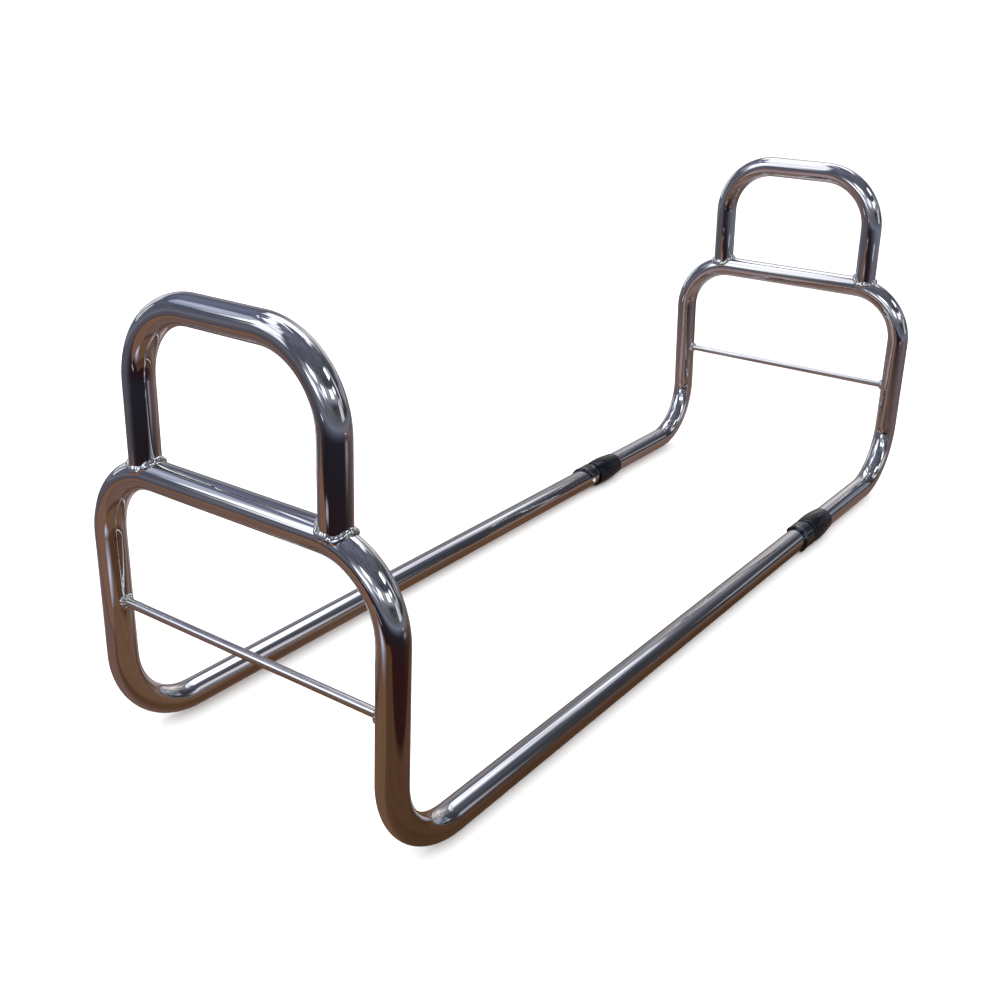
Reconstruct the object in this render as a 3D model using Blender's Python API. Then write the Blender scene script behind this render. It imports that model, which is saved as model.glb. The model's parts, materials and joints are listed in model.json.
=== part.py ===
"""Double-sided bed grab frame: two chromed tubular hoops on telescoping rails.

Each end is one bent tube: two rails, two uprights and a top bar, with a
narrower grip loop welded on top and a thin cross rod welded between the
uprights. The far end slides on inner tubes and is held by two clip pins.
"""
import math

import bmesh
import bpy
from mathutils import Matrix, Vector

# Tube stock, metres
TUBE_R = 0.0127
TUBE_BORE_R = 0.0112
SLIDE_R = 0.0109
SLIDE_BORE_R = 0.0094
ROD_R = 0.0040
GAP = 0.0003
COPE_GAP = 0.0007

# Hoops and rails
RAIL_SPACING = 0.295
FOOT_SPACING = 0.986
HOOP_RISE = 0.245
HOOP_SPREAD = math.radians(1.3)
FOOT_BEND_R = 0.0695
HOOP_BEND_R = 0.0635
ROD_RISE = 0.1213

# Grip loops
GRIP_RISE = 0.3857
GRIP_SPACING = 0.2004
GRIP_SPREAD = math.radians(0.65)
GRIP_BEND_R = 0.0649

# Collars and locks, as distances along the rail from the near foot
NEAR_RAIL_END = 0.775
FERRULE_FROM = 0.7427
FERRULE_TO = 0.7945
FERRULE_R = 0.0160
CLIP_FROM = 0.7145
CLIP_TO = 0.7402
CLIP_R = 0.0157
CLIP_BORE_R = 0.0133
CLIP_LOW_DEG = -60.0
CLIP_HIGH_DEG = 162.0
FAR_RAIL_END = 0.795

# Lock pins and the row of adjusting holes
PIN_R = 0.0026
PIN_HOLE_R = 0.0030
PIN_TIP = 0.0141
PIN_ROOT = 0.0139
SOCKET_DEPTH = 0.0009
HOLE_PITCH = 0.050
HOLE_COUNT = 7
SLIDE_MARGIN = 0.030
SLIDE_GRIP = 0.055

# Weld beads
GRIP_BEAD_R = 0.0042
ROD_BEAD_R = 0.0030
BEAD_LUMPS = 7
BEAD_LUMP = 0.14
BEAD_THIN = 0.45

# Mesh resolution
SIDES = 16
BEND_STEPS = 7
ROD_SIDES = 12
PIN_SIDES = 12
HOLE_SIDES = 12
BEAD_AROUND = 20
BEAD_SECTION = 7
CLIP_STEPS = 20
SHARP_ANGLE = math.radians(38.0)

# Derived positions
RAIL_Z = FERRULE_R
RAIL_Y = RAIL_SPACING / 2
NEAR_X = -FOOT_SPACING / 2
FAR_X = FOOT_SPACING / 2
HOOP_Y = RAIL_Y + HOOP_RISE * math.tan(HOOP_SPREAD)
GRIP_Y = GRIP_SPACING / 2
PIN_X = NEAR_X + (CLIP_FROM + CLIP_TO) / 2
SLIDE_X0 = PIN_X - HOLE_PITCH * (HOLE_COUNT - 1) - SLIDE_MARGIN
SLIDE_X1 = NEAR_X + FAR_RAIL_END + SLIDE_GRIP
FAR_ORIGIN = Vector((NEAR_X + FAR_RAIL_END, 0.0, RAIL_Z))


def clear_scene():
    """Start from an empty file."""
    for obj in list(bpy.data.objects):
        bpy.data.objects.remove(obj, do_unlink=True)


# ---------------------------------------------------------------- materials


def make_material(name, color, metallic, roughness):
    """A Principled material of its own for one piece."""
    material = bpy.data.materials.new(name)
    material.use_nodes = True
    shader = material.node_tree.nodes["Principled BSDF"]
    shader.inputs["Base Color"].default_value = (*color, 1.0)
    shader.inputs["Metallic"].default_value = metallic
    shader.inputs["Roughness"].default_value = roughness
    return material


def chrome(name):
    """Bright plated steel."""
    return make_material(name + "_chrome", (0.78, 0.79, 0.81), 1.0, 0.08)


def weld_metal(name):
    """Plated weld bead, a little rougher than the tube."""
    return make_material(name + "_weld", (0.72, 0.73, 0.75), 1.0, 0.18)


def bare_steel(name):
    """Unplated slide tube and pin steel."""
    return make_material(name + "_steel", (0.62, 0.63, 0.65), 1.0, 0.28)


def black_plastic(name, roughness):
    """Black moulded plastic."""
    return make_material(name + "_plastic", (0.016, 0.017, 0.019), 0.0, roughness)


# ------------------------------------------------------------ mesh building


def finish_mesh(bm, name, material, origin=Vector()):
    """Turn a closed bmesh into an object whose origin is at the given point."""
    bmesh.ops.recalc_face_normals(bm, faces=bm.faces)
    for face in bm.faces:
        face.smooth = True
    for edge in bm.edges:
        edge.smooth = edge.calc_face_angle(0.0) < SHARP_ANGLE
    bmesh.ops.transform(bm, matrix=Matrix.Translation(-origin), verts=bm.verts)
    mesh = bpy.data.meshes.new(name)
    bm.to_mesh(mesh)
    bm.free()
    mesh.materials.append(material)
    obj = bpy.data.objects.new(name, mesh)
    obj.location = origin
    bpy.context.scene.collection.objects.link(obj)
    return obj


def add_rings(bm, rings):
    """Add each ring's points as vertices."""
    return [[bm.verts.new(point) for point in ring] for ring in rings]


def bridge(bm, first, second):
    """Join two vertex rings with quads."""
    count = len(first)
    for k in range(count):
        after = (k + 1) % count
        bm.faces.new((first[k], first[after], second[after], second[k]))


def skin(bm, rings):
    """Join each vertex ring to the next."""
    for first, second in zip(rings, rings[1:]):
        bridge(bm, first, second)


def fan(bm, ring, centre):
    """Close a ring with triangles that meet at a centre point."""
    hub = bm.verts.new(centre)
    count = len(ring)
    for k in range(count):
        bm.faces.new((ring[k], ring[(k + 1) % count], hub))


def flats_radius(radius, sides):
    """Corner radius of the polygon whose flats touch the true circle."""
    return radius / math.cos(math.pi / sides)


def mirror_y(points):
    """The same points on the other side of the frame's centre plane."""
    return [Vector((p.x, -p.y, p.z)) for p in points]


# ------------------------------------------------------------------- paths


def bend_points(before, corner, after, radius):
    """Points and directions round one bend of the centreline."""
    d0 = (corner - before).normalized()
    d1 = (after - corner).normalized()
    angle = d0.angle(d1)
    reach = radius * math.tan(angle / 2)
    centre = corner + (d1 - d0).normalized() * (radius / math.cos(angle / 2))
    start = corner - d0 * reach
    spoke = start - centre
    result = []
    for k in range(BEND_STEPS + 1):
        a = angle * k / BEND_STEPS
        point = centre + spoke * math.cos(a) + d0 * (radius * math.sin(a))
        tangent = d0 * math.cos(a) - spoke.normalized() * math.sin(a)
        result.append((point, tangent))
    return result


def rounded_path(corners, radii):
    """Stations (point, direction) along a bent centreline."""
    first = (corners[1] - corners[0]).normalized()
    path = [(corners[0], first)]
    for k, radius in enumerate(radii, start=1):
        if radius:
            path += bend_points(corners[k - 1], corners[k], corners[k + 1], radius)
        else:
            path.append((corners[k], (corners[k + 1] - corners[k]).normalized()))
    path.append((corners[-1], (corners[-1] - corners[-2]).normalized()))
    return path


def section_rings(path, side, radius, sides):
    """Polygon rings along a path, carried round the bends without twist."""
    corner_r = flats_radius(radius, sides)
    rings = []
    across = side.normalized()
    previous = path[0][1]
    for point, tangent in path:
        across = previous.rotation_difference(tangent) @ across
        up = tangent.cross(across)
        previous = tangent
        ring = []
        for k in range(sides):
            a = 2 * math.pi * (k + 0.5) / sides
            offset = across * math.cos(a) + up * math.sin(a)
            ring.append(point + offset * corner_r)
        rings.append(ring)
    return rings


def both_sides(rings):
    """Continue a half piece, ending on the centre plane, to the other side."""
    return rings + [mirror_y(ring) for ring in reversed(rings[:-1])]


def line_distance(point, line):
    """Distance from a point to a centreline, and the nearest point on it."""
    best = None
    for a, b in zip(line, line[1:]):
        span = b - a
        t = max(0.0, min(1.0, (point - a).dot(span) / span.length_squared))
        foot = a + span * t
        gap = (point - foot).length
        if best is None or gap < best[0]:
            best = (gap, foot)
    return best


# --------------------------------------------------------- frame centrelines


def hoop_corners(foot_x, rail_end_x, marks=()):
    """Half of an end hoop: rail end, foot, top corner, middle of the top bar."""
    rail = [Vector((x, RAIL_Y, RAIL_Z)) for x in (rail_end_x, *marks, foot_x)]
    top_z = RAIL_Z + HOOP_RISE
    rail.append(Vector((foot_x, HOOP_Y, top_z)))
    rail.append(Vector((foot_x, 0.0, top_z)))
    return rail


def hoop_path(foot_x, rail_end_x, marks=()):
    """Bent half centreline of an end hoop."""
    corners = hoop_corners(foot_x, rail_end_x, marks)
    radii = [0.0] * len(marks) + [FOOT_BEND_R, HOOP_BEND_R]
    return rounded_path(corners, radii)


def hoop_line(foot_x):
    """Centreline points of the half hoop, for fitting pieces to it."""
    middle = 0.5 * (NEAR_X + FAR_X)
    return [point for point, _ in hoop_path(foot_x, middle)]


def grip_path(foot_x):
    """Bent half centreline of a grip loop, from inside the top bar's axis."""
    base_z = RAIL_Z + HOOP_RISE
    top_z = RAIL_Z + GRIP_RISE
    top_y = GRIP_Y + (top_z - base_z) * math.tan(GRIP_SPREAD)
    corners = [
        Vector((foot_x, GRIP_Y, base_z)),
        Vector((foot_x, top_y, top_z)),
        Vector((foot_x, 0.0, top_z)),
    ]
    return rounded_path(corners, [GRIP_BEND_R])


def rod_ends(foot_x):
    """Where the cross rod's axis meets the axes of the two uprights."""
    y = RAIL_Y + ROD_RISE * math.tan(HOOP_SPREAD)
    z = RAIL_Z + ROD_RISE
    return Vector((foot_x, y, z)), Vector((foot_x, -y, z))


# ------------------------------------------------------------ fitted pieces


def cope_point(point, direction, line, radius):
    """Slide a point along its piece until it is just clear of a round tube."""
    low = -0.020
    high = 0.060
    for _ in range(40):
        middle = 0.5 * (low + high)
        if line_distance(point + direction * middle, line)[0] < radius:
            low = middle
        else:
            high = middle
    return point + direction * high


def cope_ring(ring, direction, line, radius):
    """Shape a ring to sit on a round tube."""
    return [cope_point(point, direction, line, radius) for point in ring]


def hollow_tube(outer, inner):
    """Closed wall between an outer and an inner row of rings."""
    bm = bmesh.new()
    outer_verts = add_rings(bm, outer)
    inner_verts = add_rings(bm, inner)
    skin(bm, outer_verts)
    skin(bm, inner_verts)
    bridge(bm, outer_verts[0], inner_verts[0])
    bridge(bm, outer_verts[-1], inner_verts[-1])
    return bm


def make_hoop(name, foot_x, rail_end_x, marks, origin):
    """One end's bent tube: rails, uprights and top bar."""
    path = hoop_path(foot_x, rail_end_x, marks)
    across = Vector((0.0, 1.0, 0.0))
    outer = both_sides(section_rings(path, across, TUBE_R, SIDES))
    inner = both_sides(section_rings(path, across, TUBE_BORE_R, SIDES))
    return finish_mesh(hollow_tube(outer, inner), name, chrome(name), origin)


def make_grip(name, foot_x, origin):
    """Inverted U handle whose feet are shaped to sit on the top bar."""
    path = grip_path(foot_x)
    line = hoop_line(foot_x)
    host_r = flats_radius(TUBE_R, SIDES) + COPE_GAP
    across = Vector((1.0, 0.0, 0.0))
    rows = []
    for radius in (TUBE_R, TUBE_BORE_R):
        half = section_rings(path, across, radius, SIDES)
        half[0] = cope_ring(half[0], path[0][1], line, host_r)
        rows.append(both_sides(half))
    return finish_mesh(hollow_tube(*rows), name, chrome(name), origin)


def make_rod(name, foot_x, origin):
    """Solid cross rod with ends shaped to the uprights."""
    start, _ = rod_ends(foot_x)
    inward = Vector((0.0, -1.0, 0.0))
    middle = Vector((foot_x, 0.0, start.z))
    path = [(start, inward), (middle, inward)]
    line = hoop_line(foot_x)
    host_r = flats_radius(TUBE_R, SIDES) + GAP
    half = section_rings(path, Vector((1.0, 0.0, 0.0)), ROD_R, ROD_SIDES)
    half[0] = cope_ring(half[0], inward, line, host_r)
    hub = cope_point(start, inward, line, host_r)
    bm = bmesh.new()
    rings = add_rings(bm, both_sides(half))
    skin(bm, rings)
    fan(bm, rings[0], hub)
    fan(bm, rings[-1], mirror_y([hub])[0])
    return finish_mesh(bm, name, chrome(name), origin)


# -------------------------------------------------------------- weld beads


def push_clear(point, line, radius):
    """Move a point out of a round tube, along the shortest way."""
    distance, foot = line_distance(point, line)
    if distance >= radius:
        return point
    return foot + (point - foot).normalized() * radius


def bead_rings(root, axis, branch_r, line, bead_r):
    """A lumpy ring of weld lying against a branch and the tube it stands on."""
    side = axis.orthogonal().normalized()
    other = axis.cross(side)
    branch = [root - axis * 0.05, root + axis * 0.08]
    host_r = flats_radius(TUBE_R, SIDES) + GAP
    leg_r = branch_r + GAP
    rings = []
    for k in range(BEAD_AROUND):
        a = 2 * math.pi * k / BEAD_AROUND
        out = side * math.cos(a) + other * math.sin(a)
        seam = cope_point(root + out * branch_r, axis, line, host_r)
        _, foot = line_distance(seam, line)
        host_out = (seam - foot).normalized()
        normal = (out + host_out).normalized()
        along = out.cross(axis).cross(normal).normalized()
        corner = BEAD_THIN + (1 - BEAD_THIN) * out.cross(host_out).length
        size = bead_r * corner * (1 + BEAD_LUMP * math.sin(BEAD_LUMPS * a))
        ring = []
        for j in range(BEAD_SECTION):
            b = 2 * math.pi * j / BEAD_SECTION
            lift = normal * (size * (0.30 + 0.70 * math.sin(b)))
            point = seam + lift + along * (size * math.cos(b))
            for _ in range(6):
                point = push_clear(point, branch, leg_r)
                point = push_clear(point, line, host_r)
            ring.append(point)
        rings.append(ring)
    return rings


def make_bead(name, rings, origin):
    """Closed ring of weld metal."""
    bm = bmesh.new()
    verts = add_rings(bm, rings)
    skin(bm, verts + verts[:1])
    return finish_mesh(bm, name, weld_metal(name), origin)


def make_bead_pair(prefix, root, axis, branch_r, line, bead_r, origin):
    """Matching beads on the left and right."""
    rings = bead_rings(root, axis, branch_r, line, bead_r)
    make_bead(prefix + "_left", rings, origin)
    make_bead(prefix + "_right", [mirror_y(ring) for ring in rings], origin)


def make_end_welds(prefix, foot_x, origin):
    """Beads at the grip loop's feet and the cross rod's ends."""
    line = hoop_line(foot_x)
    root, axis = grip_path(foot_x)[0]
    leg_r = flats_radius(TUBE_R, SIDES)
    name = prefix + "_grip_weld"
    make_bead_pair(name, root, axis, leg_r, line, GRIP_BEAD_R, origin)
    start, _ = rod_ends(foot_x)
    inward = Vector((0.0, -1.0, 0.0))
    rod_r = flats_radius(ROD_R, ROD_SIDES)
    name = prefix + "_rod_weld"
    make_bead_pair(name, start, inward, rod_r, line, ROD_BEAD_R, origin)


# ------------------------------------------------------- collars and slides


def turned(profile, y):
    """Rings of a turned piece on a rail's axis, closed on itself."""
    rings = []
    for x, radius in profile:
        corner_r = flats_radius(radius, SIDES)
        ring = []
        for k in range(SIDES):
            a = 2 * math.pi * (k + 0.5) / SIDES
            offset = Vector((0.0, math.cos(a), math.sin(a))) * corner_r
            ring.append(Vector((x, y, RAIL_Z)) + offset)
        rings.append(ring)
    return rings


def ferrule_profile():
    """Barrel-shaped sleeve over the rail's end, with a lip round the slide."""
    start = NEAR_X + FERRULE_FROM
    end = NEAR_X + FERRULE_TO
    shoulder = NEAR_X + NEAR_RAIL_END + GAP
    length = FERRULE_TO - FERRULE_FROM
    return [
        (start, TUBE_R + GAP),
        (start, FERRULE_R * 0.93),
        (start + 0.015 * length, FERRULE_R * 0.96),
        (start + 0.22 * length, FERRULE_R * 0.99),
        (start + 0.48 * length, FERRULE_R),
        (start + 0.78 * length, FERRULE_R * 0.97),
        (start + 0.96 * length, FERRULE_R * 0.92),
        (end, FERRULE_R * 0.87),
        (end, SLIDE_R + GAP),
        (shoulder, SLIDE_R + GAP),
        (shoulder, TUBE_R + GAP),
    ]


def make_ferrule(name, side):
    """Fixed plastic sleeve on one near rail."""
    bm = bmesh.new()
    rings = add_rings(bm, turned(ferrule_profile(), side * RAIL_Y))
    skin(bm, rings + rings[:1])
    return finish_mesh(bm, name, black_plastic(name, 0.42))


def make_slide_tube(name, side):
    """Inner tube fixed in the far rail, with its row of adjusting holes."""
    marks = [SLIDE_X0]
    for k in reversed(range(HOLE_COUNT)):
        hole_x = PIN_X - k * HOLE_PITCH
        marks += [hole_x - 0.008, hole_x + 0.008]
    marks.append(SLIDE_X1)
    y = side * RAIL_Y
    outer = turned([(x, SLIDE_R) for x in marks], y)
    inner = turned([(x, SLIDE_BORE_R) for x in marks], y)
    bm = hollow_tube(outer, inner)
    obj = finish_mesh(bm, name, bare_steel(name), FAR_ORIGIN)
    holes = [PIN_X - k * HOLE_PITCH for k in range(HOLE_COUNT)]
    cut_holes(obj, holes, [y], 2 * SLIDE_R)
    return obj


# --------------------------------------------------------------- cut-outs


def cross_cylinder(bm, x, y0, y1, radius):
    """Closed cylinder lying across the rails."""
    rings = []
    for y in (y0, y1):
        ring = []
        for k in range(HOLE_SIDES):
            a = 2 * math.pi * (k + 0.5) / HOLE_SIDES
            height = RAIL_Z + radius * math.sin(a)
            ring.append(bm.verts.new((x + radius * math.cos(a), y, height)))
        rings.append(ring)
    bridge(bm, rings[0], rings[1])
    bm.faces.new(rings[0])
    bm.faces.new(rings[1])


def subtract(obj, bm, label):
    """Cut a tool shape out of a piece."""
    tool_name = obj.name + "_" + label
    cutter = finish_mesh(bm, tool_name, obj.data.materials[0])
    cutter.hide_render = True
    cutter.display_type = "WIRE"
    modifier = obj.modifiers.new(label, "BOOLEAN")
    modifier.operation = "DIFFERENCE"
    modifier.solver = "EXACT"
    modifier.object = cutter


def cut_holes(obj, xs, ys, width):
    """Drill pin holes right through the rails at the given places."""
    bm = bmesh.new()
    for y in ys:
        for x in xs:
            half = 0.75 * width
            cross_cylinder(bm, x, y - half, y + half, PIN_HOLE_R)
    subtract(obj, bm, "pin_holes")


# ---------------------------------------------------------- clips and pins


def clip_section(thickness):
    """Rounded cross-section of the clip: (distance along rail, radius)."""
    edge = 0.0007
    middle = 0.5 * (CLIP_BORE_R + CLIP_R)
    low = middle - 0.5 * (CLIP_R - CLIP_BORE_R) * thickness
    high = middle + 0.5 * (CLIP_R - CLIP_BORE_R) * thickness
    start = NEAR_X + CLIP_FROM
    end = NEAR_X + CLIP_TO
    return [
        (start, low),
        (start, high - edge),
        (start + 0.3 * edge, high - 0.3 * edge),
        (start + edge, high),
        (end - edge, high),
        (end - 0.3 * edge, high - 0.3 * edge),
        (end, high - edge),
        (end, low),
    ]


def clip_rings(side):
    """Sections of the C-shaped clip from its lower lip over to its inner lip."""
    rings = []
    for k in range(CLIP_STEPS + 1):
        at_lip = k in (0, CLIP_STEPS)
        share = k / CLIP_STEPS
        a = math.radians(CLIP_LOW_DEG + (CLIP_HIGH_DEG - CLIP_LOW_DEG) * share)
        ring = []
        for x, radius in clip_section(0.70 if at_lip else 1.0):
            y = side * (RAIL_Y + radius * math.cos(a))
            ring.append(Vector((x, y, RAIL_Z + radius * math.sin(a))))
        rings.append(ring)
    return rings


def pin_axis_point(side):
    """Where the lock pin's axis crosses the rail's axis."""
    return Vector((PIN_X, side * RAIL_Y, RAIL_Z))


def make_clip(name, side):
    """Springy plastic clip that snaps round the rail and carries the pin."""
    bm = bmesh.new()
    rings = add_rings(bm, clip_rings(side))
    skin(bm, rings)
    bm.faces.new(rings[0])
    bm.faces.new(rings[-1])
    material = black_plastic(name, 0.25)
    obj = finish_mesh(bm, name, material, pin_axis_point(side))
    tool = bmesh.new()
    y0 = side * (RAIL_Y + 0.010)
    y1 = side * (RAIL_Y + CLIP_BORE_R + SOCKET_DEPTH)
    cross_cylinder(tool, PIN_X, y0, y1, PIN_HOLE_R)
    subtract(obj, tool, "pin_socket")
    return obj


def make_pin(name, side):
    """Steel lock pin with a domed tip that shows on the rail's inner side."""
    profile = [(PIN_ROOT, 1.0), (-PIN_TIP + 0.0010, 1.0)]
    profile += [(-PIN_TIP + 0.0003, 0.80), (-PIN_TIP, 0.45)]
    rings = []
    for reach, share in profile:
        ring = []
        for k in range(PIN_SIDES):
            a = 2 * math.pi * (k + 0.5) / PIN_SIDES
            x = PIN_X + PIN_R * share * math.cos(a)
            z = RAIL_Z + PIN_R * share * math.sin(a)
            ring.append(Vector((x, side * (RAIL_Y + reach), z)))
        rings.append(ring)
    bm = bmesh.new()
    verts = add_rings(bm, rings)
    skin(bm, verts)
    bm.faces.new(verts[0])
    bm.faces.new(verts[-1])
    return finish_mesh(bm, name, bare_steel(name), pin_axis_point(side))


# ---------------------------------------------------------------- assembly


def build_near_end():
    """Fixed end: hoop with the long outer rails."""
    origin = Vector()
    marks = (PIN_X + 0.008, PIN_X - 0.008)
    rail_end = NEAR_X + NEAR_RAIL_END
    hoop = make_hoop("near_frame_tube", NEAR_X, rail_end, marks, origin)
    cut_holes(hoop, [PIN_X], [RAIL_Y, -RAIL_Y], 2 * TUBE_R)
    make_grip("near_grip_loop", NEAR_X, origin)
    make_rod("near_cross_rod", NEAR_X, origin)
    make_end_welds("near", NEAR_X, origin)


def build_far_end():
    """Sliding end: the same hoop on short rails, with the inner tubes."""
    rail_end = NEAR_X + FAR_RAIL_END
    make_hoop("far_frame_tube", FAR_X, rail_end, (), FAR_ORIGIN)
    make_grip("far_grip_loop", FAR_X, FAR_ORIGIN)
    make_rod("far_cross_rod", FAR_X, FAR_ORIGIN)
    make_end_welds("far", FAR_X, FAR_ORIGIN)


def build_rail_fittings():
    """Ferrule, slide tube, clip and pin on each rail."""
    for label, side in (("left", 1.0), ("right", -1.0)):
        make_ferrule(label + "_rail_ferrule", side)
        make_slide_tube(label + "_slide_tube", side)
        make_clip(label + "_lock_clip", side)
        make_pin(label + "_lock_pin", side)


def main():
    """Build every piece."""
    clear_scene()
    build_near_end()
    build_far_end()
    build_rail_fittings()


main()
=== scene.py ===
"""Looks of the double-sided bed grab frame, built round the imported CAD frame.

Lengths are in metres and angles in degrees unless a name or comment says so.
"""
import json
import math

import bmesh
import bpy
from mathutils import Matrix, Vector

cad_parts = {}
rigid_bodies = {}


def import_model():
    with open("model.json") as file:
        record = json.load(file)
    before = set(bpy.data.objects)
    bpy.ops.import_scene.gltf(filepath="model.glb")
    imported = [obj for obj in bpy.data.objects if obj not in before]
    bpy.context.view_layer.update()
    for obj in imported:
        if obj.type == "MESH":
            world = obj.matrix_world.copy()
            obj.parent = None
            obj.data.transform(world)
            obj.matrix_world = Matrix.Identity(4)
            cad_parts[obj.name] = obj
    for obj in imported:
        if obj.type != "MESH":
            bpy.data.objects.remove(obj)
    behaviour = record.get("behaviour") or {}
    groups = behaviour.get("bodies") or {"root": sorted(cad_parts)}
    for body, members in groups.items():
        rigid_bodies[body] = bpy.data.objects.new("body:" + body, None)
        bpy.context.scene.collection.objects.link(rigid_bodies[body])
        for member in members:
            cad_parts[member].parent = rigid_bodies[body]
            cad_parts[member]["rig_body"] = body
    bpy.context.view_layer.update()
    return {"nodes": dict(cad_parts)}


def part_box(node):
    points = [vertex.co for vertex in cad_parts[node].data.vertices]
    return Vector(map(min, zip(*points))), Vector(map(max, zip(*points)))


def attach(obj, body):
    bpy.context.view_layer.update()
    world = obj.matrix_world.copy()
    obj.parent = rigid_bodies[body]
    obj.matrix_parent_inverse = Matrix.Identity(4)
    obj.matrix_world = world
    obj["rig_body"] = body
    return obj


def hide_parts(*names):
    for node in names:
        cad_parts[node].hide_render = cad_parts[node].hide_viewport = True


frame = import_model()

# ------------------------------------------------------------------ constants

# Tube stock, bends and rises, as in the CAD
TUBE_R = 0.0127
TUBE_BORE_R = 0.0112
SLIDE_R = 0.0109
SLIDE_BORE_R = 0.0094
ROD_R = 0.0040
HOOP_RISE = 0.245
HOOP_SPREAD = math.radians(1.3)
FOOT_BEND_R = 0.0695
HOOP_BEND_R = 0.0635
GRIP_RISE = 0.3857
GRIP_Y = 0.1002
GRIP_SPREAD = math.radians(0.65)
GRIP_BEND_R = 0.0649
PIN_R = 0.0026
PIN_HOLE_R = 0.0030
HOLE_PITCH = 0.050
HOLE_COUNT = 7

# Tube meshes: sides of a ring, rings in a bend and along the straights, how
# much a bend flattens the tube, and over what share of the bend that comes in
TUBE_SIDES = 72
ROD_SIDES = 32
BEND_STEPS = 30
HOOP_RING_PITCH = 0.05
GRIP_RING_PITCH = 0.02
BEND_OVAL = 0.022
BEND_EASE = 0.25

# Where a tube's end meets its host: gap left between them; reach and steps of
# the search for where the two come closest, then for where the tube leaves the
# host; how near the hoop's plane its upright and top bar lie; how far past the
# CAD rod's end the search starts
END_GAP = 0.0002
CLOSEST_REACH = 0.012
CLOSEST_STEPS = 40
LEAVING_REACH = 0.060
LEAVING_STEPS = 30
HOOP_PLANE_GAP = 0.002
ROD_OVERRUN = 0.002

# Heights above the top bar's axis where the loop's feet and weld seams stop
FOOT_EDGE = 0.0040
WELD_EDGE = 0.0055

# Weld runs: radius of the bead, its share of that where the tubes meet flush,
# and how much wider it pools there
GRIP_BEAD = (0.0036, 0.50, 1.6)
ROD_BEAD = (0.0029, 0.80, 0.0)
# All runs: steps round, sides, gap to both tubes and rounds of pushing clear of
# them, and the stretch of the branch tube's axis that counts
BEAD_STEPS = 120
BEAD_SIDES = 22
BEAD_GAP = 0.0001
PUSH_ROUNDS = 4
BEAD_BRANCH = (-0.05, 0.08)
# Shares of the bead's size: ripples (so many in a turn), blobs and wandering;
# its half width, the height of its middle and its half height; how fast it
# stops being flush with the slope between the tubes, and its sinking there
BEAD_RIPPLES = 13
BEAD_RIPPLE = 0.20
BEAD_BLOB = 0.08
BEAD_WANDER = 0.16
BEAD_WIDTH = 0.96
BEAD_MIDDLE = 0.24
BEAD_HEIGHT = 0.70
BEAD_SLOPE_RATE = 1.35
BEAD_SINK = 0.35

# Drilled holes and slide tubes
DRILL_SIDES = 32
DRILL_REACH = 0.02
SLIDE_STEPS = 24
SLIDE_CHAMFER = 0.0004

# Pin: outline of its root in shares of its length and of PIN_R, then the
# dome's share of the length, its steps, and the share of PIN_R at its tip
PIN_SIDES = 32
PIN_ROOT = [(0.0, 0.86), (0.012, 1.0)]
PIN_DOME = 0.052
PIN_DOME_STEPS = 8
PIN_DOME_TIP = 0.02

# Ferrule outline: shares of its length and of its greatest radius
FERRULE_SIDES = 96
FERRULE_OUTLINE = [
    (0.000, 0.915), (0.004, 0.935), (0.012, 0.948), (0.030, 0.953),
    (0.048, 0.950), (0.060, 0.940), (0.075, 0.945), (0.100, 0.962),
    (0.160, 0.978), (0.250, 0.990), (0.340, 0.998), (0.420, 1.000),
    (0.520, 0.990), (0.640, 0.966), (0.760, 0.932), (0.840, 0.906),
    (0.860, 0.896), (0.875, 0.892), (0.940, 0.872), (0.978, 0.860),
    (0.994, 0.846), (1.000, 0.830),
]
# Ferrule bore: distance in from the ferrule's far or near end, and radius
FERRULE_FAR_BORE = [
    (0.0, SLIDE_R + 0.0005), (0.0008, SLIDE_R + 0.0003),
    (0.018, SLIDE_R + 0.0003), (0.0182, TUBE_R + 0.0002),
]
FERRULE_NEAR_BORE = [(0.0004, TUBE_R + 0.0002), (0.0, TUBE_R + 0.0006)]

# Clip: radii, first angle and sweep round the rail, share of the sweep that
# rounds each tip, square of the wall's share left at a tip, and how far each
# edge stands in from the CAD's and slants in, with the slant's power
CLIP_BORE_R = 0.0129
CLIP_R = 0.0157
CLIP_START = -60.0
CLIP_SWEEP = 222.0
CLIP_STEPS = 72
CLIP_TIP = 0.045
CLIP_TIP_LEAST = 0.02
CLIP_EDGE_GAP = 0.0003
CLIP_NEAR_SLANT = (0.0080, 1.5)
CLIP_FAR_SLANT = (0.0016, 2)
# Wall outline: distance from the near edge up to the middle of a wall
# CLIP_WALL wide, and past the middle measured back from the far edge; then
# height through the wall, from bore 0 to outside 1
CLIP_WALL = 0.012
CLIP_SECTION = [
    (0.0003, 0.00), (0.0000, 0.12), (0.0000, 0.62), (0.0002, 0.84),
    (0.0006, 0.97), (0.0011, 1.00), (0.0016, 0.985), (0.0022, 0.93),
    (0.0030, 0.90), (0.0060, 0.90), (0.0085, 0.90), (0.0096, 0.92),
    (0.0102, 0.975), (0.0108, 1.00), (0.0114, 0.97), (0.0118, 0.84),
    (0.0120, 0.62), (0.0120, 0.12), (0.0117, 0.00),
]

# Edges that bend more than this are sharp, in degrees
SHARP_TUBE = 35.0
SHARP_PLASTIC = 50.0
SHARP_WELD = 80.0

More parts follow.
